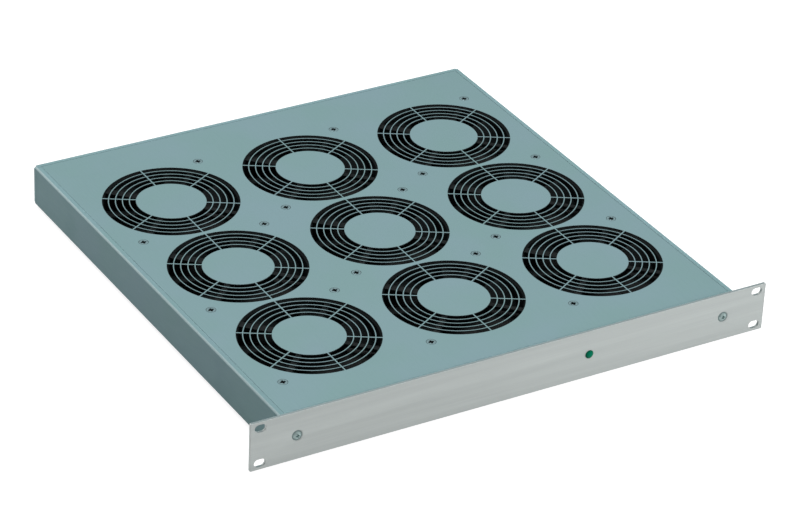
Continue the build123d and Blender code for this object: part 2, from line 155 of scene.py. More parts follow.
# Matt white paint that the camera and reflections see as a white field with the drawer's
# shadow on it, apart from the stretch under the drawer, which is painted dark as shade.
tree = emptied(matt_white)
path = add(tree, "ShaderNodeLightPath").outputs
seen = add(tree, "ShaderNodeMath", path["Is Camera Ray"], path["Is Glossy Ray"], operation="MAXIMUM")
seen = add(tree, "ShaderNodeMath", seen, path["Is Transmission Ray"], operation="MAXIMUM")
glow = add(tree, "ShaderNodeMath", seen, FLOOR_GLOW, operation="MULTIPLY")
away = outside_box(tree, shade_low, shade_high)
in_open = add(tree, "ShaderNodeMapRange", away, 0.0, SHADE_FADE_MM * MM)
glow = add(tree, "ShaderNodeMath", glow, in_open, operation="MULTIPLY")
# Painted shade: under the drawer the floor's colour turns dark.
paint = add(tree, "ShaderNodeMix", in_open, SHADE_HEX, FLOOR_HEX, data_type="RGBA")
matt = add(tree, "ShaderNodeBsdfDiffuse", Color=paint)
light = add(tree, "ShaderNodeEmission", Color=WHITE_HEX, Strength=glow)
both = add(tree, "ShaderNodeAddShader", matt, light)
add(tree, "ShaderNodeOutputMaterial", Surface=both)

floor_mesh = bpy.data.meshes.new("floor")
half = FLOOR_SPAN / 2
floor_mesh.from_pydata(
    [(x, y, cad_low.z) for x, y in ((-half, -half), (half, -half), (half, half), (-half, half))],
    [], [(0, 1, 2, 3)])
floor_mesh.materials.append(matt_white)
floor = bpy.data.objects.new("floor", floor_mesh)
bpy.context.scene.collection.objects.link(floor)

world = bpy.data.worlds.new("white_surround")
bpy.context.scene.world = world
tree = emptied(world)
to_camera = add(tree, "ShaderNodeLightPath").outputs["Is Camera Ray"]
level_there = add(tree, "ShaderNodeMapRange", to_camera, To_Min=SURROUND_LEVEL, To_Max=1.0)
surround = add(tree, "ShaderNodeBackground", Color=WHITE_HEX, Strength=level_there)
add(tree, "ShaderNodeOutputWorld", Surface=surround)

for name, place, aim, size, power, reflected in LAMPS:
    data = bpy.data.lights.new(name, "AREA")
    data.shape, data.size, data.energy = "DISK", size, power
    lamp = bpy.data.objects.new(name, data)
    lamp.location = place
    lamp.rotation_euler = (Vector(place) - Vector(aim)).to_track_quat("Z", "Y").to_euler()
    lamp.visible_glossy = reflected
    bpy.context.scene.collection.objects.link(lamp)
bpy.context.scene.view_settings.view_transform = "Standard"


# Chassis walls. One sheet of zinc-plated, passivated steel, folded up on all four sides,
# with a rim turned in at the top, a step under it for the plate and a flange below.
ZINC_HEX, ZINC_COOL_HEX, ZINC_WARM_HEX, ZINC_DULL_AND_SHADE_HEX = "85A6AA", "8AA5AF", "82A5A3", "60757A"
TORN_AND_SHADE_HEX, BEND_HIGHLIGHT_HEX = "2B3234", "ABC1C3"
GRAIN_MM, GRAIN_STRETCH, MOTTLE_MM, SMUDGE_MM = 0.9, 22, 60.0, 140.0
TINT_SHARE, SMUDGE_DULLS, GRAIN_DULLS, LAP_DULLS = 0.6, 0.14, 0.07, 0.5
ZINC_ROUGH, GRAIN_ROUGHENS, SMUDGE_ROUGHENS = 0.4, 0.07, 0.1
LAP_FROM_REAR_MM, LAP_LINE_MM, TORN_AND_SHADE_FADE_MM = 6.0, 0.5, 4.0
MERGE_MM, FLAT_DEG, SMOOTH_DEG, SHARP_DEG = 0.002, 0.4, 28, 32


def pattern(tree, size_mm, stretch=(1, 1, 1), detail=2.0, rough=0.5):
    """Noise on object coordinates whose features are about size_mm across."""
    place = add(tree, "ShaderNodeTexCoord").outputs["Object"]
    scale = [1 / (size_mm * MM * longer) for longer in stretch]
    mapped = add(tree, "ShaderNodeMapping", Vector=place, Scale=scale)
    return add(tree, "ShaderNodeTexNoise", Vector=mapped, Scale=1.0, Detail=detail, Roughness=rough)


def facing(tree):
    """The way a surface faces, as its X, Y and Z parts."""
    normal = add(tree, "ShaderNodeNewGeometry").outputs["Normal"]
    return add(tree, "ShaderNodeSeparateXYZ", normal).outputs


def facing_up(tree):
    """How level a surface lies: 1 where it faces straight up or down, 0 where it is upright."""
    return add(tree, "ShaderNodeMath", facing(tree)["Z"], operation="ABSOLUTE")


def lap_share(tree):
    """Where the line of the lapped corner shows, just short of the rear."""
    lap_y = chassis_high.y - LAP_FROM_REAR_MM * MM
    from_lap = add(tree, "ShaderNodeMath", place_parts(tree)["Y"], lap_y, operation="SUBTRACT")
    away = add(tree, "ShaderNodeMath", from_lap, operation="ABSOLUTE")
    line = LAP_LINE_MM * MM
    return add(tree, "ShaderNodeMapRange", away, 0.2 * line, line, LAP_DULLS, 0.0)


def bend_highlight_share(tree):
    """Where the upper left bend turns from the wall to the rim, which carries a painted highlight."""
    leftward = add(tree, "ShaderNodeMapRange", facing(tree)["X"], -0.5, -0.1, 1.0, 0.0)
    upward = add(tree, "ShaderNodeMapRange", facing(tree)["Z"], 0.1, 0.4)
    return add(tree, "ShaderNodeMath", leftward, upward, operation="MULTIPLY")


def torn_and_shade_share(tree, low, high):
    """Where an edge of an opening between these two corners is turned away from level. There the
    walls are torn steel, and walls and rolled edges take painted shade.
    """
    upright = add(tree, "ShaderNodeMapRange", facing_up(tree), 0.9, 0.99, 1.0, 0.0)
    away = outside_box(tree, low, high)
    inside = add(tree, "ShaderNodeMapRange", away, -TORN_AND_SHADE_FADE_MM * MM, 0.0, 1.0, 0.0)
    return add(tree, "ShaderNodeMath", upright, inside, operation="MULTIPLY")


def zinc_sheet(name, metal, gloss, dulled=0.0, folded=False, punched=None):
    """Zinc-plated, passivated sheet steel, rolled one way: a cool grey satin with faint cloudy
    tints, fine rolling grain and a few duller marks left by handling. A share given as dulled
    darkens the whole colour as painted shade. A folded sheet shows a lap and carries a painted
    highlight on its left bend. The walls and rolled edges of punched openings are dark, as torn
    steel on the walls and as painted shade. The grain is drawn coarser than a real one so that
    it shows."""
    material = bpy.data.materials.new(name)
    tree = emptied(material)
    mottle = add(tree, "ShaderNodeMapRange", pattern(tree, MOTTLE_MM, detail=3.0), 0.35, 0.65)
    tint = add(tree, "ShaderNodeMix", mottle, ZINC_COOL_HEX, ZINC_WARM_HEX, data_type="RGBA")
    skin = add(tree, "ShaderNodeMix", TINT_SHARE, tint, ZINC_HEX, data_type="RGBA")
    grain = pattern(tree, GRAIN_MM, (1, GRAIN_STRETCH, 1), detail=4.0)
    handled = pattern(tree, SMUDGE_MM, detail=5.0, rough=0.6)
    smudge = add(tree, "ShaderNodeMapRange", handled, 0.56, 0.74)
    smudge_dull = add(tree, "ShaderNodeMath", smudge, SMUDGE_DULLS, operation="MULTIPLY")
    # A share given as dulled darkens the whole colour: painted shade.
    grain_dull_and_shade = add(tree, "ShaderNodeMapRange", grain, 0.3, 0.7, dulled, dulled + GRAIN_DULLS)
    dull_and_shade = add(tree, "ShaderNodeMath", smudge_dull, grain_dull_and_shade, operation="ADD")
    if folded:
        dull_and_shade = add(tree, "ShaderNodeMath", dull_and_shade, lap_share(tree), operation="ADD")
    skin = add(tree, "ShaderNodeMix", dull_and_shade, skin, ZINC_DULL_AND_SHADE_HEX, data_type="RGBA")
    if folded:
        # Painted highlight: the left bend is drawn paler.
        skin = add(tree, "ShaderNodeMix", bend_highlight_share(tree), skin, BEND_HIGHLIGHT_HEX, data_type="RGBA")
    if punched:
        # The openings' walls and rolled edges are painted dark: torn steel and painted shade.
        torn_and_shade = torn_and_shade_share(tree, *punched)
        skin = add(tree, "ShaderNodeMix", torn_and_shade, skin, TORN_AND_SHADE_HEX, data_type="RGBA")
    grain_rough = add(tree, "ShaderNodeMapRange", grain, 0.3, 0.7, ZINC_ROUGH, ZINC_ROUGH + GRAIN_ROUGHENS)
    smudge_rough = add(tree, "ShaderNodeMath", smudge, SMUDGE_ROUGHENS, operation="MULTIPLY")
    rough = add(tree, "ShaderNodeMath", grain_rough, smudge_rough, operation="ADD")
    relief = add(tree, "ShaderNodeBump", Height=grain, Strength=0.12, Distance=0.05 * MM)
    shader = add(tree, "ShaderNodeBsdfPrincipled", Base_Color=skin, Roughness=rough, Metallic=metal,
                 Specular_IOR_Level=gloss, Normal=relief)
    add(tree, "ShaderNodeOutputMaterial", Surface=shader)
    return material


def eased(node, name, material, edge_mm=0.0, body="chassis", clamped=True):
    """A copy of a CAD piece in its place, with its doubles merged, its curved faces smooth
    and, where an edge size is given, its sharp edges broken by that much."""
    mesh = nodes[node].data.copy()
    mesh.name = name
    mesh.transform(nodes[node].matrix_world)
    shape = bmesh.new()
    shape.from_mesh(mesh)
    bmesh.ops.remove_doubles(shape, verts=shape.verts, dist=MERGE_MM * MM)
    bmesh.ops.dissolve_limit(shape, angle_limit=radians(FLAT_DEG), verts=shape.verts, edges=shape.edges)
    shape.to_mesh(mesh)
    shape.free()
    mesh.materials.clear()
    mesh.materials.append(material)
    mesh.shade_smooth()
    mesh.set_sharp_from_angle(angle=radians(SMOOTH_DEG))
    piece = bpy.data.objects.new(name, mesh)
    bpy.context.scene.collection.objects.link(piece)
    if edge_mm:
        bevel = piece.modifiers.new("broken edges", "BEVEL")
        bevel.width, bevel.segments = edge_mm * MM, 2
        bevel.use_clamp_overlap = clamped
        bevel.limit_method, bevel.angle_limit = "ANGLE", radians(SHARP_DEG)
        bevel.harden_normals = True
    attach(piece, body)
    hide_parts(node)


# On the walls the coating hardly shines, and its colour is darkened as painted shade for the
# walls' weaker light.
wall_zinc = zinc_sheet("passivated_zinc_wall", metal=0.0, gloss=0.05, dulled=0.15, folded=True)
eased("chassis_frame", "folded_chassis_walls", wall_zinc)


# Top plate. A flat sheet of the same zinc-plated steel with a ring grille punched over each
# fan and a round hole for each fan screw. It lies flush inside the chassis's rim.
DISC_MM, GRILLE_MM, RING_MM, SPOKE_MM = 30.25, 58.75, 1.2, 1.5
SLOT_ROWS, SPOKES, ARC_POINTS, HOLE_POINTS = 5, 6, 20, 36
SLOT_MM = (GRILLE_MM - DISC_MM - (SLOT_ROWS - 1) * RING_MM) / SLOT_ROWS
FAN_PITCH_X, FAN_PITCH_Y, FAN_FIRST_Y, SCREW_SPREAD = 135.0, 122.0, 97.5, 52.5
PLATE_HOLE_MM, PUNCHED_EDGE_MM, SEAM_FILL_MM = 4.0, 0.28, 0.1
PLATE_MERGE_MM, PLATE_FLAT_DEG, PLATE_SHARP_DEG = 0.001, 1, 50

plate_low, plate_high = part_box("top_plate")
plate_sizes = {
    "Width": plate_high.x - plate_low.x + 2 * SEAM_FILL_MM * MM,
    "Depth": plate_high.y - plate_low.y + 2 * SEAM_FILL_MM * MM,
    "Middle Y": (plate_low.y + plate_high.y) / 2,
    "Bottom": plate_low.z,
    "Thickness": plate_high.z - plate_low.z,
    "Disc Radius": DISC_MM * MM,
    "Slot Width": SLOT_MM * MM,
    "Ring Width": RING_MM * MM,
    "Spoke Width": SPOKE_MM * MM,
    "Screw Hole Radius": PLATE_HOLE_MM * MM,
    "Screw Spread": SCREW_SPREAD * MM,
    "Fan Pitch X": FAN_PITCH_X * MM,
    "Fan Pitch Y": FAN_PITCH_Y * MM,
    "First Row Y": FAN_FIRST_Y * MM,
}


def geometry_tree(name, sizes):
    """An empty Geometry Nodes tree with one named float input for each size."""
    tree = bpy.data.node_groups.new(name, "GeometryNodeTree")
    for size in sizes:
        tree.interface.new_socket(size, in_out="INPUT", socket_type="NodeSocketFloat")
    tree.interface.new_socket("Geometry", in_out="OUTPUT", socket_type="NodeSocketGeometry")
    return tree, add(tree, "NodeGroupInput").outputs


def end_tree(tree, shape, material):
    """Ends a tree: instances are made real and the piece gets its material."""
    real = add(tree, "GeometryNodeRealizeInstances", Geometry=shape)
    dressed = add(tree, "GeometryNodeSetMaterial", Geometry=real, Material=material)
    add(tree, "NodeGroupOutput", Geometry=dressed)


def grow(name, tree, sizes, body, replaced):
    """Runs a tree with these sizes and leaves a plain mesh that rides on a body."""
    piece = bpy.data.objects.new(name, bpy.data.meshes.new(name + "_start"))
    bpy.context.scene.collection.objects.link(piece)
    modifier = piece.modifiers.new(name, "NODES")
    modifier.node_group = tree
    for item in tree.interface.items_tree:
        if item.in_out == "INPUT":
            modifier[item.identifier] = sizes[item.name]
    bpy.context.view_layer.update()
    grown = piece.evaluated_get(bpy.context.evaluated_depsgraph_get())
    made = bpy.data.meshes.new_from_object(grown)
    piece.modifiers.remove(modifier)
    made.name = name
    piece.data = made
    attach(piece, body)
    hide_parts(replaced)
    return piece


def fan_places(tree, size):
    """The nine fan centres as points, three across and three deep."""
    span_x = add(tree, "ShaderNodeMath", size["Fan Pitch X"], 2.0, operation="MULTIPLY")
    span_y = add(tree, "ShaderNodeMath", size["Fan Pitch Y"], 2.0, operation="MULTIPLY")
    grid = add(tree, "GeometryNodeMeshGrid", Size_X=span_x, Size_Y=span_y, Vertices_X=3, Vertices_Y=3)
    middle_y = add(tree, "ShaderNodeMath", size["First Row Y"], size["Fan Pitch Y"], operation="ADD")
    middle = add(tree, "ShaderNodeCombineXYZ", Y=middle_y)
    return add(tree, "GeometryNodeTransform", Geometry=grid, Translation=middle)


def diagonal(tree, away):
    """Two points on the diagonal of one fan, front left and rear right."""
    near = add(tree, "ShaderNodeMath", away, -1.0, operation="MULTIPLY")
    front_left = add(tree, "ShaderNodeCombineXYZ", near, near)
    rear_right = add(tree, "ShaderNodeCombineXYZ", away, away)
    return add(tree, "GeometryNodeMeshLine", mode="END_POINTS", Count=2, Start_Location=front_left,
               Offset=rear_right)


def slot_outline_tree():
    """One opening of a grille as a closed outline: two arcs, and two sides along spokes."""
    names = ("Inner Radius", "Slot Width", "Spoke Width")
    tree, size = geometry_tree("grille slot outline", names)
    outline = add(tree, "GeometryNodeCurvePrimitiveCircle", Resolution=2 * ARC_POINTS)
    index = add(tree, "GeometryNodeInputIndex")
    inner_arc = add(tree, "ShaderNodeMath", index, ARC_POINTS - 0.5, operation="GREATER_THAN")
    passed = add(tree, "ShaderNodeMath", inner_arc, float(ARC_POINTS), operation="MULTIPLY")
    step = add(tree, "ShaderNodeMath", index, passed, operation="SUBTRACT")
    along = add(tree, "ShaderNodeMath", step, 2 / (ARC_POINTS - 1), operation="MULTIPLY")
    share = add(tree, "ShaderNodeMath", along, 1.0, operation="SUBTRACT")
    back = add(tree, "ShaderNodeMath", inner_arc, 2.0, operation="MULTIPLY")
    way = add(tree, "ShaderNodeMath", 1.0, back, operation="SUBTRACT")
    outer_arc = add(tree, "ShaderNodeMath", 1.0, inner_arc, operation="SUBTRACT")
    outward = add(tree, "ShaderNodeMath", size["Slot Width"], outer_arc, operation="MULTIPLY")
    radius = add(tree, "ShaderNodeMath", size["Inner Radius"], outward, operation="ADD")
    half_spoke = add(tree, "ShaderNodeMath", size["Spoke Width"], 0.5, operation="MULTIPLY")
    spoke_sine = add(tree, "ShaderNodeMath", half_spoke, radius, operation="DIVIDE")
    spoke_turn = add(tree, "ShaderNodeMath", spoke_sine, operation="ARCSINE")
    half_turn = add(tree, "ShaderNodeMath", pi / SPOKES, spoke_turn, operation="SUBTRACT")
    signed = add(tree, "ShaderNodeMath", share, way, operation="MULTIPLY")
    turn = add(tree, "ShaderNodeMath", signed, half_turn, operation="MULTIPLY")
    cosine = add(tree, "ShaderNodeMath", turn, operation="COSINE")
    sine = add(tree, "ShaderNodeMath", turn, operation="SINE")
    x = add(tree, "ShaderNodeMath", radius, cosine, operation="MULTIPLY")
    y = add(tree, "ShaderNodeMath", radius, sine, operation="MULTIPLY")
    place = add(tree, "ShaderNodeCombineXYZ", x, y)
    moved = add(tree, "GeometryNodeSetPosition", Geometry=outline, Position=place)
    add(tree, "NodeGroupOutput", Geometry=moved)
    return tree


def punched_plate_tree(material):
    """The plate: its outline and every opening's, filled between, then made thick."""
    tree, size = geometry_tree("punched top plate", plate_sizes)
    slot_tree = slot_outline_tree()
    pitch = add(tree, "ShaderNodeMath", size["Slot Width"], size["Ring Width"], operation="ADD")
    rows = []
    for row in range(SLOT_ROWS):
        further = add(tree, "ShaderNodeMath", pitch, float(row), operation="MULTIPLY")
        inner = add(tree, "ShaderNodeMath", size["Disc Radius"], further, operation="ADD")
        rows.append(add(tree, "GeometryNodeGroup", node_tree=slot_tree, Inner_Radius=inner,
                        Slot_Width=size["Slot Width"], Spoke_Width=size["Spoke Width"]))
    row_slots = add(tree, "GeometryNodeJoinGeometry", rows)
    hub = add(tree, "GeometryNodePoints", Count=SPOKES)
    index = add(tree, "GeometryNodeInputIndex")
    spoke_turn = add(tree, "ShaderNodeMath", index, 2 * pi / SPOKES, operation="MULTIPLY")
    turn = add(tree, "ShaderNodeCombineXYZ", Z=spoke_turn)
    sectors = add(tree, "GeometryNodeInstanceOnPoints", Points=hub, Instance=row_slots, Rotation=turn)
    hole = add(tree, "GeometryNodeCurvePrimitiveCircle", Resolution=HOLE_POINTS,
               Radius=size["Screw Hole Radius"])
    holes = add(tree, "GeometryNodeInstanceOnPoints", Points=diagonal(tree, size["Screw Spread"]),
                Instance=hole)
    one_fan = add(tree, "GeometryNodeJoinGeometry", (sectors, holes))
    openings = add(tree, "GeometryNodeInstanceOnPoints", Points=fan_places(tree, size), Instance=one_fan)
    outline = add(tree, "GeometryNodeCurvePrimitiveQuadrilateral", Width=size["Width"],
                  Height=size["Depth"])
    middle = add(tree, "ShaderNodeCombineXYZ", Y=size["Middle Y"])
    outline = add(tree, "GeometryNodeTransform", Geometry=outline, Translation=middle)
    outlines = add(tree, "GeometryNodeJoinGeometry", (outline, openings))
    curves = add(tree, "GeometryNodeRealizeInstances", Geometry=outlines)
    flat = add(tree, "GeometryNodeFillCurve", Curve=curves)
    bottom = add(tree, "ShaderNodeCombineXYZ", Z=size["Bottom"])
    flat = add(tree, "GeometryNodeTransform", Geometry=flat, Translation=bottom)
    top = add(tree, "GeometryNodeExtrudeMesh", Mesh=flat, Offset_Scale=size["Thickness"],
              Individual=False)
    under = add(tree, "GeometryNodeFlipFaces", Mesh=flat)
    shell = add(tree, "GeometryNodeJoinGeometry", (top, under))
    solid = add(tree, "GeometryNodeMergeByDistance", Geometry=shell, Distance=PLATE_MERGE_MM * MM)
    end_tree(tree, solid, material)
    return tree


margin = (FAN_PITCH_X / 2 - GRILLE_MM) * MM
punched_low = (plate_low.x + margin, plate_low.y + margin)
punched_high = (plate_high.x - margin, plate_high.y - margin)
# On the plate the coating keeps a little of the metal's shine.
plate_zinc = zinc_sheet("passivated_zinc_plate", metal=0.25, gloss=0.3, punched=(punched_low, punched_high))
top_plate = grow("punched_top_plate", punched_plate_tree(plate_zinc), plate_sizes, "chassis",
                 "top_plate")
# The fill's small triangles are dissolved, so that the punch's rolled edge gets its full
# width, and that edge keeps its width where a seam of the fill meets it.
shape = bmesh.new()
shape.from_mesh(top_plate.data)
bmesh.ops.dissolve_limit(shape, angle_limit=radians(PLATE_FLAT_DEG), verts=shape.verts, edges=shape.edges)
shape.to_mesh(top_plate.data)
shape.free()
punched_edge = top_plate.modifiers.new("rolled punch edges", "BEVEL")
punched_edge.width, punched_edge.segments = PUNCHED_EDGE_MM * MM, 2
punched_edge.limit_method, punched_edge.angle_limit = "ANGLE", radians(PLATE_SHARP_DEG)
punched_edge.use_clamp_overlap, punched_edge.loop_slide = False, False


# Front panel. A flat bar of aluminium, sawn to a rack unit, brushed along its length and
# natural anodised, with its edges just broken. Two screws hold it to the front wall.
PANEL_HEX, PANEL_STREAK_HEX, SAWN_HEX, ARRIS_HIGHLIGHT_HEX = "CDD4D2", "B7BEBD", "8B9A9B", "D2D8D7"
PANEL_EDGE_MM, BRUSH_MM, BRUSH_STRETCH, BAND_MM, BAND_STRETCH = 0.3, 0.28, 260.0, 6.0, 40
STREAK_SHARE, BAND_SHARE, PANEL_METAL = 0.35, 0.35, 0.2

panel_low, panel_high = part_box("front_panel")
panel_aluminium = bpy.data.materials.new("brushed_anodised_aluminium")
# Natural anodised aluminium: a pale, even satin with long faint streaks from brushing and
# broad soft bands where the brush pressed. The sawn edges are dull, and the arris carries a
# painted highlight.
# The streaks are drawn coarser than real ones so that they show.
tree = emptied(panel_aluminium)
streaks = pattern(tree, BRUSH_MM, (BRUSH_STRETCH, 1, 1), detail=3.0)
streaked = add(tree, "ShaderNodeMapRange", streaks, 0.3, 0.7, 0.0, STREAK_SHARE)
bands = pattern(tree, BAND_MM, (BAND_STRETCH, 1, 1), detail=2.0)
banded = add(tree, "ShaderNodeMapRange", bands, 0.35, 0.7, 0.0, BAND_SHARE)
share = add(tree, "ShaderNodeMath", streaked, banded, operation="ADD")
brushed = add(tree, "ShaderNodeMix", share, PANEL_HEX, PANEL_STREAK_HEX, data_type="RGBA")
from_middle = add(tree, "ShaderNodeMath", place_parts(tree)["Z"], operation="ABSOLUTE")
near_edge, at_edge = (panel_high.z - widths * PANEL_EDGE_MM * MM for widths in (3, 2))
edge = add(tree, "ShaderNodeMapRange", from_middle, near_edge, at_edge)
turned_up = add(tree, "ShaderNodeMapRange", facing_up(tree), 0.1, 0.4)
broken = add(tree, "ShaderNodeMath", edge, turned_up, operation="MULTIPLY")
# Painted highlight: the arris is drawn paler.
skin = add(tree, "ShaderNodeMix", broken, brushed, ARRIS_HIGHLIGHT_HEX, data_type="RGBA")
cut_face = add(tree, "ShaderNodeMapRange", facing_up(tree), 0.93, 0.99)
skin = add(tree, "ShaderNodeMix", cut_face, skin, SAWN_HEX, data_type="RGBA")
rough = add(tree, "ShaderNodeMapRange", streaks, 0.3, 0.7, 0.36, 0.48)
relief = add(tree, "ShaderNodeBump", Height=streaks, Strength=0.2, Distance=0.02 * MM)
shader = add(tree, "ShaderNodeBsdfPrincipled", Base_Color=skin, Roughness=rough, Metallic=PANEL_METAL,
             Normal=relief)
add(tree, "ShaderNodeOutputMaterial", Surface=shader)
eased("front_panel", "slotted_front_panel", panel_aluminium, PANEL_EDGE_MM,
      clamped=False)


# Panel screws and their nuts. Raised countersunk machine screws with a cross recess, in
# zinc-plated steel, run into round press nuts set in the back of the front wall.
STEEL_HEX, STEEL_DARK_HEX, PATCH_MM, PLATING_MM = "B4B6B8", "6E7174", 1.6, 0.3
SATIN_HEX, SATIN_DARK_HEX, GROOVE_SHADE_HEX = "BCD2D0", "A2B8B7", "4A5B5C"
GROOVE_FROM, GROOVE_TO, GROOVE_SHADE_SHARE, NUT_EDGE_MM = 0.92, 1.03, 0.7, 0.2
PANEL_SCREW_X, PANEL_HEAD_R, PANEL_DOME, PANEL_SHANK_R, PANEL_SCREW_LEN = 200.0, 4.9, 1.2, 2.5, 12.0
PANEL_CROWN_R, CROWN_STEP, HEAD_EDGE, SHANK_EDGE = 3.6, 0.5, 0.1, 0.4
CROSS_DEPTH, CROSS_SPAN, CROSS_WIDTH = 2.0, 4.2, 1.5
CROSS_TIP_SPAN, CROSS_TIP_WIDTH, CUTTER_ABOVE = 0.55, 0.7, 1.0
THREAD_STEP, THREAD_DEPTH, THREAD_BELOW_HEAD, THREAD_LEVELS = 0.8, 0.35, 1.2, 4
TURN_STEPS, DOME_STEPS, FASTENER_DEG, TINY = 40, 7, 30, 1e-6


def bright_metal(name, light_hex, dark_hex, metal=0.9, rough=0.3, painted_shade=None, painted_shade_hex=None):
    """Small fittings of plated or bare metal: a shine dulled unevenly in fine patches. The last
    two arguments are a function that builds the share of painted shade in the tree, and the
    colour of that shade."""
    material = bpy.data.materials.new(name)
    tree = emptied(material)
    patches = add(tree, "ShaderNodeMapRange", pattern(tree, PATCH_MM, detail=4.0), 0.35, 0.7)
    skin = add(tree, "ShaderNodeMix", patches, light_hex, dark_hex, data_type="RGBA")
    if painted_shade:
        skin = add(tree, "ShaderNodeMix", painted_shade(tree), skin, painted_shade_hex, data_type="RGBA")
    dulled = add(tree, "ShaderNodeMapRange", patches, 0.0, 1.0, rough, rough + 0.15)
    plating = pattern(tree, PLATING_MM, detail=3.0)
    relief = add(tree, "ShaderNodeBump", Height=plating, Strength=0.3, Distance=0.02 * MM)
    shader = add(tree, "ShaderNodeBsdfPrincipled", Base_Color=skin, Roughness=dulled, Metallic=metal,
                 Normal=relief)
    add(tree, "ShaderNodeOutputMaterial", Surface=shader)
    return material


def groove_share(tree):
    """Where the groove runs round the crown of a panel screw, and how much painted shade lies in it."""
    place = place_parts(tree)
    from_middle = add(tree, "ShaderNodeMath", place["X"], operation="ABSOLUTE")
    across = add(tree, "ShaderNodeMath", from_middle, PANEL_SCREW_X * MM, operation="SUBTRACT")
    from_axis = add(tree, "ShaderNodeCombineXYZ", X=across, Z=place["Z"])
    radius = add(tree, "ShaderNodeVectorMath", from_axis, operation="LENGTH")
    start, end = GROOVE_FROM * PANEL_CROWN_R * MM, GROOVE_TO * PANEL_CROWN_R * MM
    return add(tree, "ShaderNodeMapRange", radius, start, end, 0.0, GROOVE_SHADE_SHARE)


def turned(profile, thread=None):
    """A solid turned about Z from a profile of (radius, height) points, top to bottom. A
    thread (radius, top, bottom, step, depth) is cut where the profile has that radius."""
    rows = list(profile)
    if thread:
        radius, top, bottom, step, depth = thread
        count = round((top - bottom) / (step / THREAD_LEVELS))
        cut = [(radius, top - (top - bottom) * n / count) for n in range(count + 1)]
        rows = [p for p in rows if not (abs(p[0] - radius) < TINY and bottom <= p[1] <= top)]
        start = next(n for n, p in enumerate(rows) if p[1] < top and n > 0)
        rows[start:start] = cut
    shape = bmesh.new()
    rings = []
    for row_radius, height in rows:
        if row_radius < TINY:
            rings.append([shape.verts.new((0, 0, height * MM))])
            continue
        ring = []
        for number in range(TURN_STEPS):
            angle = 2 * pi * number / TURN_STEPS
            r = row_radius
            if thread and abs(row_radius - radius) < TINY and bottom < height < top:
                wave = (height / step - angle / (2 * pi)) % 1.0
                r -= depth * (1 - abs(2 * wave - 1))
            ring.append(shape.verts.new((r * cos(angle) * MM, r * sin(angle) * MM, height * MM)))
        rings.append(ring)
    for upper, lower in zip(rings, rings[1:]):
        for number in range(TURN_STEPS):
            after = (number + 1) % TURN_STEPS
            if len(upper) == 1:
                shape.faces.new((upper[0], lower[number], lower[after]))
            elif len(lower) == 1:
                shape.faces.new((upper[number], lower[0], upper[after]))
            else:
                shape.faces.new((upper[number], lower[number], lower[after], upper[after]))
    bmesh.ops.recalc_face_normals(shape, faces=shape.faces)
    return shape


def dome_profile(radius, height, rim_level):
    """Points of a shallow dome from its top to its rim."""
    ball = (radius**2 + height**2) / (2 * height)
    half_angle = asin(radius / ball)
    angles = [half_angle * n / DOME_STEPS for n in range(DOME_STEPS + 1)]
    return [(ball * sin(a), rim_level + height - ball * (1 - cos(a))) for a in angles]


def cross_cut(shape, top, depth, span, width):
    """Sinks a tapered cross recess into the top of a turned head."""
    start = bpy.data.meshes.new("head")
    shape.to_mesh(start)
    shape.free()
    head = bpy.data.objects.new("head", start)
    arms = bmesh.new()
    for turn in (0, pi / 2):
        for vert in bmesh.ops.create_cube(arms, size=1.0)["verts"]:
            low = vert.co.z < 0
            x = vert.co.x * span * (CROSS_TIP_SPAN if low else 1.0)
            y = vert.co.y * width * (CROSS_TIP_WIDTH if low else 1.0)
            z = top - depth if low else top + CUTTER_ABOVE
            vert.co = (Matrix.Rotation(turn, 3, "Z") @ Vector((x, y, z))) * MM
    bmesh.ops.recalc_face_normals(arms, faces=arms.faces)
    cutter_mesh = bpy.data.meshes.new("cross")
    arms.to_mesh(cutter_mesh)
    arms.free()
    cutter = bpy.data.objects.new("cross", cutter_mesh)
    for part in (head, cutter):
        bpy.context.scene.collection.objects.link(part)
    cut = head.modifiers.new("recess", "BOOLEAN")
    cut.operation, cut.solver, cut.object, cut.use_self = "DIFFERENCE", "EXACT", cutter, True
    bpy.context.view_layer.update()
    evaluated = head.evaluated_get(bpy.context.evaluated_depsgraph_get())
    ready = bpy.data.meshes.new_from_object(evaluated)
    for part in (head, cutter):
        bpy.data.objects.remove(part)
    return ready


def fastener(name, mesh, way=Matrix.Identity(4)):
    """A fastener as an object, moved and turned the way it faces, with its edges shaded sharp."""
    mesh.transform(way)
    mesh.shade_smooth()
    mesh.set_sharp_from_angle(angle=radians(FASTENER_DEG))
    model = bpy.data.objects.new(name, mesh)
    bpy.context.scene.collection.objects.link(model)
    return model


def pair_tree(name, model, material):
    """Two copies of a fastener, left and right of the middle, at one depth and level."""
    tree, size = geometry_tree(name, ("Half Spread", "Y", "Z"))
    left_x = add(tree, "ShaderNodeMath", size["Half Spread"], -1.0, operation="MULTIPLY")
    left = add(tree, "ShaderNodeCombineXYZ", left_x, size["Y"], size["Z"])
    right = add(tree, "ShaderNodeCombineXYZ", size["Half Spread"], size["Y"], size["Z"])
    line = add(tree, "GeometryNodeMeshLine", mode="END_POINTS", Count=2, Start_Location=left,
               Offset=right)
    source = add(tree, "GeometryNodeObjectInfo", Object=model, As_Instance=True)
    pair = add(tree, "GeometryNodeInstanceOnPoints", Points=line, Instance=source.outputs["Geometry"])
    end_tree(tree, pair, material)
    return tree


def put_pair(name, model, material, half_spread, y, replaced):
    """Grows a pair of fasteners and drops the model they were copied from."""
    sizes = {"Half Spread": half_spread * MM, "Y": y * MM, "Z": 0.0}
    grow(name, pair_tree(name, model, material), sizes, "chassis", replaced)
    bpy.data.objects.remove(model)


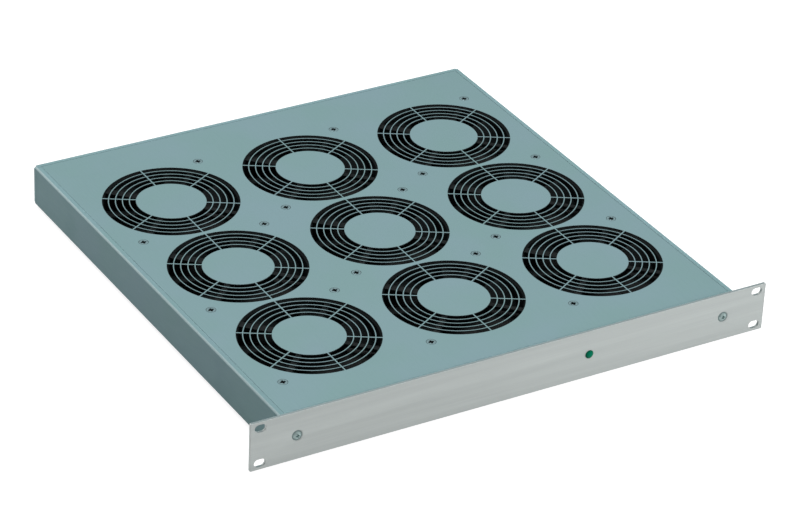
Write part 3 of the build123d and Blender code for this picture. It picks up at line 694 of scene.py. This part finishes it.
FRONT_FACING = Matrix.Rotation(pi / 2, 4, "X")
cone = PANEL_HEAD_R - PANEL_SHANK_R
thread_top, thread_end = -cone - THREAD_BELOW_HEAD, -PANEL_SCREW_LEN + SHANK_EDGE
profile = dome_profile(PANEL_CROWN_R, PANEL_DOME + CROWN_STEP, -CROWN_STEP) + [
    (PANEL_HEAD_R - HEAD_EDGE, -CROWN_STEP), (PANEL_HEAD_R, -CROWN_STEP - HEAD_EDGE),
    (PANEL_SHANK_R, -cone - CROWN_STEP), (PANEL_SHANK_R, thread_end),
    (PANEL_SHANK_R - SHANK_EDGE, -PANEL_SCREW_LEN), (0, -PANEL_SCREW_LEN)]
thread = (PANEL_SHANK_R, thread_top, thread_end, THREAD_STEP, THREAD_DEPTH)
screw_mesh = cross_cut(turned(profile, thread), PANEL_DOME, CROSS_DEPTH, CROSS_SPAN, CROSS_WIDTH)
panel_screw = fastener("panel_screw_model", screw_mesh, FRONT_FACING)
# Satin zinc on the panel screws: pale and soft, with painted shade in the groove round the crown.
satin_steel = bright_metal("satin_zinc_plated_steel", SATIN_HEX, SATIN_DARK_HEX, metal=0.3, rough=0.4,
                           painted_shade=groove_share, painted_shade_hex=GROOVE_SHADE_HEX)
put_pair("raised_panel_screws", panel_screw, satin_steel, PANEL_SCREW_X, panel_low.y / MM,
         "panel_screws")
# Bright zinc on the nuts, the stud and the inlet's screws: light grey with a clear shine.
bright_steel = bright_metal("bright_zinc_plated_steel", STEEL_HEX, STEEL_DARK_HEX)
eased("panel_nuts", "press_nuts", bright_steel, NUT_EDGE_MM)


# Power indicator. A green lens pushed through the panel from the front and held behind by a
# spring washer, with a small clear lamp in its barrel.
LENS_HEX, LENS_DEEP_HEX, LENS_CENTRE_MM, LENS_R = "008664", "00664A", (69.0, -2.5, 0.0), 3.7
LENS_CORE, LENS_RIM, ACRYLIC_IOR, LENS_SKIN_MM = 0.45, 1.02, 1.49, 0.5
EPOXY_CLOUD_MM, WASHER_EDGE_MM = 1.2, 0.12
EPOXY_HEX, EPOXY_PALE_HEX, SPRING_HEX, SPRING_DARK_HEX = "C9D6CF", "E4EAE6", "6C6F73", "43464A"

lens_green = bpy.data.materials.new("clear_green_acrylic")
# Clear acrylic over a dark barrel: a deep green that lightens toward the middle, where the
# lamp lies behind it, under a soft skin.
tree = emptied(lens_green)
place = add(tree, "ShaderNodeTexCoord").outputs["Object"]
centre = [v * MM for v in LENS_CENTRE_MM]
offset = add(tree, "ShaderNodeVectorMath", place, centre, operation="SUBTRACT")
away = add(tree, "ShaderNodeVectorMath", offset, operation="LENGTH")
edge = add(tree, "ShaderNodeMapRange", away, LENS_CORE * LENS_R * MM, LENS_RIM * LENS_R * MM)
skin = add(tree, "ShaderNodeMix", edge, LENS_HEX, LENS_DEEP_HEX, data_type="RGBA")
ripple = pattern(tree, LENS_SKIN_MM)
relief = add(tree, "ShaderNodeBump", Height=ripple, Strength=0.15, Distance=0.01 * MM)
shader = add(tree, "ShaderNodeBsdfPrincipled", Base_Color=skin, Roughness=0.3, IOR=ACRYLIC_IOR,
             Specular_IOR_Level=0.05, Normal=relief)
add(tree, "ShaderNodeOutputMaterial", Surface=shader)
eased("indicator_lens", "green_lens", lens_green)

lamp_epoxy = bpy.data.materials.new("clear_epoxy")
# Cast epoxy: pale, glossy and slightly cloudy.
tree = emptied(lamp_epoxy)
cloud = pattern(tree, EPOXY_CLOUD_MM)
skin = add(tree, "ShaderNodeMix", cloud, EPOXY_HEX, EPOXY_PALE_HEX, data_type="RGBA")
shader = add(tree, "ShaderNodeBsdfPrincipled", Base_Color=skin, Roughness=0.12, Transmission_Weight=0.5)
add(tree, "ShaderNodeOutputMaterial", Surface=shader)
eased("indicator_lamp", "indicator_lamp_body", lamp_epoxy)
# Plain spring steel: a dark grey metal with a soft shine.
spring_steel = bright_metal("plain_spring_steel", SPRING_HEX, SPRING_DARK_HEX, metal=0.9, rough=0.35)
eased("indicator_clip", "lens_spring_washer", spring_steel, WASHER_EDGE_MM)


# Fan frames. Nine square frames moulded in black glass-filled polyester, each with a round
# duct, four struts, the motor's base and a bearing post, hung under the plate by two screws.
FRAME_HEX, FRAME_WORN_HEX, FRAME_EDGE_MM = "0F1415", "181D1E", 0.35
GRIT_MM, FLOW_MM, FLOW_STRETCH = 0.35, 9.0, 2.5


def moulded(name, base_hex, worn_hex, rough, gloss=0.35, grit_mm=GRIT_MM):
    """Moulded engineering plastic: a fine spark-eroded grain, faint flow clouds where the
    melt met and a softer shine on the high spots. The grain is drawn coarser than a real one
    so that it shows."""
    material = bpy.data.materials.new(name)
    tree = emptied(material)
    clouds = pattern(tree, FLOW_MM, (1, 1, FLOW_STRETCH), detail=3.0)
    flow = add(tree, "ShaderNodeMapRange", clouds, 0.4, 0.75)
    skin = add(tree, "ShaderNodeMix", flow, base_hex, worn_hex, data_type="RGBA")
    grit = pattern(tree, grit_mm, detail=2.0)
    shine = add(tree, "ShaderNodeMapRange", grit, 0.3, 0.7, rough - 0.06, rough + 0.08)
    relief = add(tree, "ShaderNodeBump", Height=grit, Strength=0.4, Distance=0.03 * MM)
    shader = add(tree, "ShaderNodeBsdfPrincipled", Base_Color=skin, Roughness=shine,
                 Specular_IOR_Level=gloss, Normal=relief)
    add(tree, "ShaderNodeOutputMaterial", Surface=shader)
    return material


# Glass-filled polyester: near black and matt, with only a faint sheen.
frame_plastic = moulded("glass_filled_polyester", FRAME_HEX, FRAME_WORN_HEX, rough=0.5, gloss=0.12)
eased("fan_frames", "moulded_fan_frames", frame_plastic, FRAME_EDGE_MM)


# Motors. A sintered bronze bush pressed in each post and a stator of varnished laminations
# with its windings round it, both mostly hidden by the rotor.
BRONZE_HEX, BRONZE_DARK_HEX, CORE_HEX, CORE_DARK_HEX = "9A7340", "5F4526", "2A2826", "141312"
LAMINATION_MM, VARNISH_MM = 0.5, 1.5

# Sintered bronze: a warm brown metal, darker in patches and only softly shiny.
bronze = bright_metal("sintered_bronze", BRONZE_HEX, BRONZE_DARK_HEX, metal=0.9, rough=0.4)
eased("fan_bushes", "bronze_bushes", bronze)
core_iron = bpy.data.materials.new("varnished_laminations")
# Stacked steel laminations under varnish: thin level lines across a dull brown grey.
tree = emptied(core_iron)
height = add(tree, "ShaderNodeMath", place_parts(tree)["Z"], LAMINATION_MM * MM, operation="DIVIDE")
stack = add(tree, "ShaderNodeMath", height, operation="FRACT")
gap = add(tree, "ShaderNodeMapRange", stack, 0.75, 0.95)
skin = add(tree, "ShaderNodeMix", gap, CORE_HEX, CORE_DARK_HEX, data_type="RGBA")
rough = add(tree, "ShaderNodeMapRange", pattern(tree, VARNISH_MM), 0.3, 0.7, 0.35, 0.5)
relief = add(tree, "ShaderNodeBump", Height=stack, Strength=0.5, Distance=0.05 * MM)
shader = add(tree, "ShaderNodeBsdfPrincipled", Base_Color=skin, Roughness=rough, Metallic=0.1,
             Specular_IOR_Level=0.15, Normal=relief)
add(tree, "ShaderNodeOutputMaterial", Surface=shader)
eased("fan_stators", "motor_stators", core_iron)


# Impellers. Nine one-piece mouldings, a rotor cup with seven cambered blades, each fixed on
# its own ground steel shaft and turning with it.
BLADE_HEX, BLADE_WORN_HEX, SHAFT_HEX, SHAFT_DARK_HEX = "0E1314", "161A1B", "B9BBBD", "85888B"
FANS, BLADE_EDGE_MM, BLADE_GRIT_MM = 9, 0.25, 0.5

# Moulded impeller plastic: near black and satin, with a coarser grain than the frames.
impeller_plastic = moulded("satin_black_impeller_plastic", BLADE_HEX, BLADE_WORN_HEX, rough=0.45,
                           gloss=0.08, grit_mm=BLADE_GRIT_MM)
# Ground steel: light grey, with the sharpest shine of the metals here.
shaft_steel = bright_metal("ground_shaft_steel", SHAFT_HEX, SHAFT_DARK_HEX, metal=1.0, rough=0.2)
for number in range(1, FANS + 1):
    body = f"fan_{number}"
    eased(f"impeller_{number}", f"bladed_impeller_{number}", impeller_plastic,
          BLADE_EDGE_MM, body)
    eased(f"impeller_shaft_{number}", f"ground_shaft_{number}", shaft_steel, body=body)


# Fan screws. Eighteen flush countersunk screws with a small cross recess, two to a fan on
# one diagonal, cutting their own thread in the frame's corner holes.
FAN_HEAD_R, FAN_SHANK_R, FAN_SCREW_LEN, FAN_CONE = 3.9, 2.0, 8.0, 1.0
FAN_HEAD_EDGE, FAN_HEAD_FLAT, FAN_POINT_LEN, FAN_POINT_R = 0.15, 0.1, 1.5, 0.4
FAN_CROSS_DEPTH, FAN_CROSS_SPAN, FAN_CROSS_WIDTH = 1.8, 6.0, 2.3
SCREW_ZINC_HEX, SCREW_DARK_HEX, RECESS_SHADE_HEX = "86A3A7", "728B90", "2A3336"
RECESS_SHADE_FULL_MM, RECESS_SHADE_NONE_MM = 0.4, 0.05


def recess_share(tree):
    """How deep a place lies below the plate's top, from no painted shade to full painted shade."""
    full, none = plate_high.z - RECESS_SHADE_FULL_MM * MM, plate_high.z - RECESS_SHADE_NONE_MM * MM
    return add(tree, "ShaderNodeMapRange", place_parts(tree)["Z"], full, none, 1.0, 0.0)


profile = [(0, 0), (FAN_HEAD_R - FAN_HEAD_EDGE, 0), (FAN_HEAD_R, -FAN_HEAD_FLAT),
           (FAN_SHANK_R, -FAN_CONE), (FAN_SHANK_R, -FAN_SCREW_LEN + FAN_POINT_LEN),
           (FAN_POINT_R, -FAN_SCREW_LEN), (0, -FAN_SCREW_LEN)]
screw_mesh = cross_cut(turned(profile), 0.0, FAN_CROSS_DEPTH, FAN_CROSS_SPAN, FAN_CROSS_WIDTH)
fan_screw = fastener("fan_screw_model", screw_mesh)
# Passivated like the plate, so that a head hardly shows on it. The recess is painted dark as
# shade, so the cross reads as a dark mark, and it is cut larger than a real one to show at all.
screw_zinc = bright_metal("passivated_screw_steel", SCREW_ZINC_HEX, SCREW_DARK_HEX, metal=0.3,
                          rough=0.42, painted_shade=recess_share, painted_shade_hex=RECESS_SHADE_HEX)
screw_sizes = {
    "Screw Spread": SCREW_SPREAD * MM,
    "Fan Pitch X": FAN_PITCH_X * MM,
    "Fan Pitch Y": FAN_PITCH_Y * MM,
    "First Row Y": FAN_FIRST_Y * MM,
    "Plate Top": plate_high.z,
}
tree, size = geometry_tree("fan screws", screw_sizes)
source = add(tree, "GeometryNodeObjectInfo", Object=fan_screw, As_Instance=True)
pair = add(tree, "GeometryNodeInstanceOnPoints", Points=diagonal(tree, size["Screw Spread"]),
           Instance=source.outputs["Geometry"])
screws = add(tree, "GeometryNodeInstanceOnPoints", Points=fan_places(tree, size), Instance=pair)
plate_top = add(tree, "ShaderNodeCombineXYZ", Z=size["Plate Top"])
lifted = add(tree, "GeometryNodeTransform", Geometry=screws, Translation=plate_top)
end_tree(tree, lifted, screw_zinc)
grow("flush_fan_screws", tree, screw_sizes, "chassis", "fan_screws")
bpy.data.objects.remove(fan_screw)


# Supply inlet. A black moulded three-pole appliance inlet in the middle of the rear wall,
# with nickel-plated pins, held by two countersunk screws and nuts inside.
INLET_HEX, INLET_WORN_HEX, PIN_HEX, PIN_DARK_HEX = "17181A", "2A2C2E", "C8C3B0", "96907C"
INLET_SCREW_X, INLET_HEAD_R, INLET_SHANK_R, INLET_SCREW_LEN = 20.0, 2.8, 1.5, 9.0
INLET_HEAD_EDGE, INLET_SHANK_EDGE, INLET_EDGE_MM = 0.12, 0.3, 0.3
INLET_THREAD_STEP, INLET_THREAD_DEPTH, INLET_THREAD_BELOW = 0.5, 0.25, 0.8
INLET_CROSS_DEPTH, INLET_CROSS_SPAN, INLET_CROSS_WIDTH = 1.3, 3.2, 0.85

# Moulded polyamide: black and shinier than the fan frames.
inlet_plastic = moulded("moulded_inlet_polyamide", INLET_HEX, INLET_WORN_HEX, rough=0.36)
eased("inlet_body", "appliance_inlet", inlet_plastic, INLET_EDGE_MM)
# Nickel on brass: a warm, pale metal with a clear shine.
pin_brass = bright_metal("nickel_plated_brass", PIN_HEX, PIN_DARK_HEX, metal=1.0, rough=0.22)
eased("inlet_pins", "inlet_pin_blades", pin_brass, INLET_EDGE_MM)
REAR_FACING = Matrix.Rotation(-pi / 2, 4, "X")
cone = INLET_HEAD_R - INLET_SHANK_R
thread_end = -INLET_SCREW_LEN + INLET_SHANK_EDGE
profile = [(0, 0), (INLET_HEAD_R - INLET_HEAD_EDGE, 0), (INLET_HEAD_R, -INLET_HEAD_EDGE),
           (INLET_SHANK_R, -cone), (INLET_SHANK_R, thread_end),
           (INLET_SHANK_R - INLET_SHANK_EDGE, -INLET_SCREW_LEN), (0, -INLET_SCREW_LEN)]
thread = (INLET_SHANK_R, -cone - INLET_THREAD_BELOW, thread_end, INLET_THREAD_STEP,
          INLET_THREAD_DEPTH)
screw_mesh = cross_cut(turned(profile, thread), 0.0, INLET_CROSS_DEPTH, INLET_CROSS_SPAN,
                       INLET_CROSS_WIDTH)
inlet_screw = fastener("inlet_screw_model", screw_mesh, REAR_FACING)
inlet_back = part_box("inlet_body")[1].y / MM
put_pair("inlet_screws_turned", inlet_screw, bright_steel, INLET_SCREW_X, inlet_back,
         "inlet_screws")
eased("inlet_nuts", "inlet_hex_nuts", bright_steel, NUT_EDGE_MM)


# Earth stud. A threaded stud pressed through the rear wall from inside, with a hexagon nut
# that clamps the earth terminal.
STUD_X, STUD_R, STUD_HEAD_R, STUD_HEAD, STUD_EDGE = -60.0, 2.0, 3.8, 1.2, 0.35
STUD_THREAD_END, STUD_THREAD_STEP, STUD_THREAD_DEPTH, STUD_NUT_EDGE_MM = 11.8, 0.7, 0.3, 0.25

stud_low, stud_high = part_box("earth_stud")
reach = (stud_high.y - stud_low.y) / MM
profile = [(0, 0), (STUD_R - STUD_EDGE, 0), (STUD_R, -STUD_EDGE), (STUD_R, -reach + STUD_HEAD),
           (STUD_HEAD_R, -reach + STUD_HEAD), (STUD_HEAD_R, -reach), (0, -reach)]
thread = (STUD_R, -STUD_EDGE, -STUD_THREAD_END, STUD_THREAD_STEP, STUD_THREAD_DEPTH)
stud_mesh = bpy.data.meshes.new("threaded_earth_stud")
stud_shape = turned(profile, thread)
stud_shape.to_mesh(stud_mesh)
stud_shape.free()
stud_place = Matrix.Translation((STUD_X * MM, stud_high.y, 0))
earth_stud = fastener("threaded_earth_stud", stud_mesh, stud_place @ REAR_FACING)
stud_mesh.materials.append(bright_steel)
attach(earth_stud, "chassis")
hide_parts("earth_stud")
eased("earth_nut", "earth_hex_nut", bright_steel, STUD_NUT_EDGE_MM)


# Wiring. Two looms in braided sleeves run back between the fan columns to the inlet's tabs,
# held by nylon saddles stuck under the plate, and each fan's lead joins the loom beside it.
SLEEVE_HEX, SLEEVE_LIGHT_HEX, BRAID_MM = "1B1C1E", "3A3C3F", 1.2
LEAD_HEX, LEAD_LIGHT_HEX, NYLON_HEX, NYLON_WARM_HEX = "232427", "3A3B3E", "DAD8CB", "C9C5B2"
SADDLE_EDGE_MM = 0.4

sleeve = bpy.data.materials.new("braided_sleeve")
# Braided monofilament sleeve: crossing strands that catch the light in small diamonds. Its
# strands are drawn coarser than the real 0.25 mm ones so that the braid shows.
tree = emptied(sleeve)
place = place_parts(tree)
run = add(tree, "ShaderNodeMath", place["X"], place["Y"], operation="ADD")
strands = []
for way in ("ADD", "SUBTRACT"):
    slant = add(tree, "ShaderNodeMath", run, place["Z"], operation=way)
    across = add(tree, "ShaderNodeMath", slant, BRAID_MM * MM, operation="DIVIDE")
    turns = add(tree, "ShaderNodeMath", across, 2 * pi, operation="MULTIPLY")
    strands.append(add(tree, "ShaderNodeMath", turns, operation="SINE"))
crossing = add(tree, "ShaderNodeMath", *strands, operation="MAXIMUM")
braid = add(tree, "ShaderNodeMapRange", crossing, -0.2, 1.0)
skin = add(tree, "ShaderNodeMix", braid, SLEEVE_HEX, SLEEVE_LIGHT_HEX, data_type="RGBA")
relief = add(tree, "ShaderNodeBump", Height=braid, Strength=0.6, Distance=0.15 * MM)
shader = add(tree, "ShaderNodeBsdfPrincipled", Base_Color=skin, Roughness=0.55, Normal=relief)
add(tree, "ShaderNodeOutputMaterial", Surface=shader)
eased("left_loom", "left_sleeved_loom", sleeve)
eased("right_loom", "right_sleeved_loom", sleeve)
# Vinyl insulation: a dark grey skin with a satin shine.
lead_pvc = moulded("lead_insulation_vinyl", LEAD_HEX, LEAD_LIGHT_HEX, rough=0.45)
eased("fan_leads", "fan_lead_ends", lead_pvc)
# Natural nylon: a warm off-white with a satin shine.
nylon = moulded("natural_nylon", NYLON_HEX, NYLON_WARM_HEX, rough=0.45)
eased("loom_clips", "nylon_loom_saddles", nylon, SADDLE_EDGE_MM)
